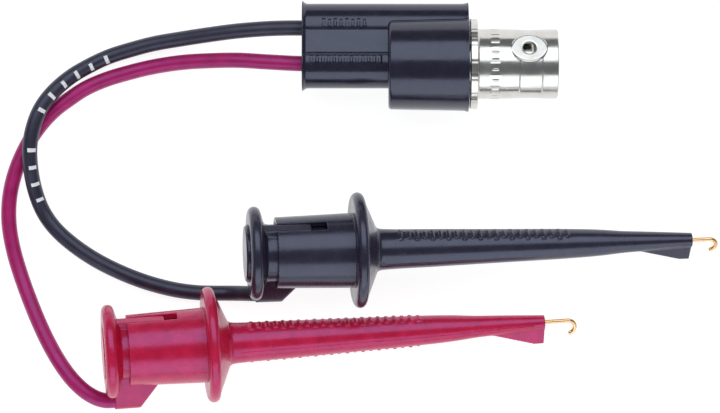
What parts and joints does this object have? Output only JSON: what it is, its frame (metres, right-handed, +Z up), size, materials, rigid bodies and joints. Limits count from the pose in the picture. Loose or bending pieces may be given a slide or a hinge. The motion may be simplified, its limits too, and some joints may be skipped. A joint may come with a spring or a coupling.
{
  "type": "oscilloscope test lead",
  "caption": "BNC plug moulded onto two flexible leads, each ending in a spring-loaded hook clip, for picking up a signal and its ground.",
  "frame": {"origin": "on the surface the set lies on, under the middle of the plug and the two clips", "axes": "+X along the plug's axis towards its mouth, +Y from the clips towards the plug, +Z up"},
  "size_m": [0.115, 0.0644, 0.0184],
  "materials": {
    "black_moulding": "satin injection-moulded PVC",
    "black_plastic": "semi-gloss moulded nylon",
    "red_plastic": "semi-gloss moulded nylon",
    "black_jacket": "satin flexible jacket",
    "red_jacket": "satin flexible jacket",
    "nickel_plate": "bright nickel plate",
    "gold_plate": "gold flash over copper alloy",
    "tinned_copper": "tinned strands",
    "spring_steel": "drawn wire and strip",
    "ptfe": "waxy white",
    "silicone": "soft matte"
  },
  "bodies": {
    "lead_set": {"moulded_body": "black_moulding", "contact_shell": "nickel_plate", "insulator": "ptfe", "centre_pin": "gold_plate", "gasket": "silicone", "snap_ring": "spring_steel", "wave_washer": "spring_steel", "signal_core": "tinned_copper", "ground_core": "tinned_copper", "black_lead": "black_jacket", "red_lead": "red_jacket", "black_plunger": "black_plastic", "black_end_plug": "black_plastic", "black_ferrule": "tinned_copper", "black_hook": "gold_plate", "black_core": "tinned_copper", "black_spring": "spring_steel", "red_plunger": "red_plastic", "red_end_plug": "red_plastic", "red_ferrule": "tinned_copper", "red_hook": "gold_plate", "red_core": "tinned_copper", "red_spring": "spring_steel"},
    "nut_carrier": {"thrust_washer": "nickel_plate"},
    "nut": {"coupling_nut": "nickel_plate"},
    "black_grip": {"black_barrel": "black_plastic"},
    "red_grip": {"red_barrel": "red_plastic"}
  },
  "joints": [
    {"name": "nut_float", "type": "slide", "parent": "lead_set", "child": "nut_carrier", "axis": [1, 0, 0], "range_m": [0, 0.0006], "stiffness_N_per_m": 2000, "springref_m": -0.0005, "deforming": ["wave_washer"]},
    {"name": "nut_turn", "type": "hinge", "parent": "nut_carrier", "child": "nut", "pos_m": [0.0117, 0.02256, 0.00745], "axis": [1, 0, 0], "continuous": true},
    {"name": "black_clip", "type": "slide", "parent": "lead_set", "child": "black_grip", "axis": [0.9933, 0.0295, -0.1115], "range_m": [-0.0012, 0.0026], "stiffness_N_per_m": 200, "springref_m": 0.006, "deforming": ["black_spring"]},
    {"name": "red_clip", "type": "slide", "parent": "lead_set", "child": "red_grip", "axis": [0.9904, 0.0623, -0.1236], "range_m": [-0.0007, 0.0026], "stiffness_N_per_m": 200, "springref_m": 0.006, "deforming": ["red_spring"]}
  ]
}
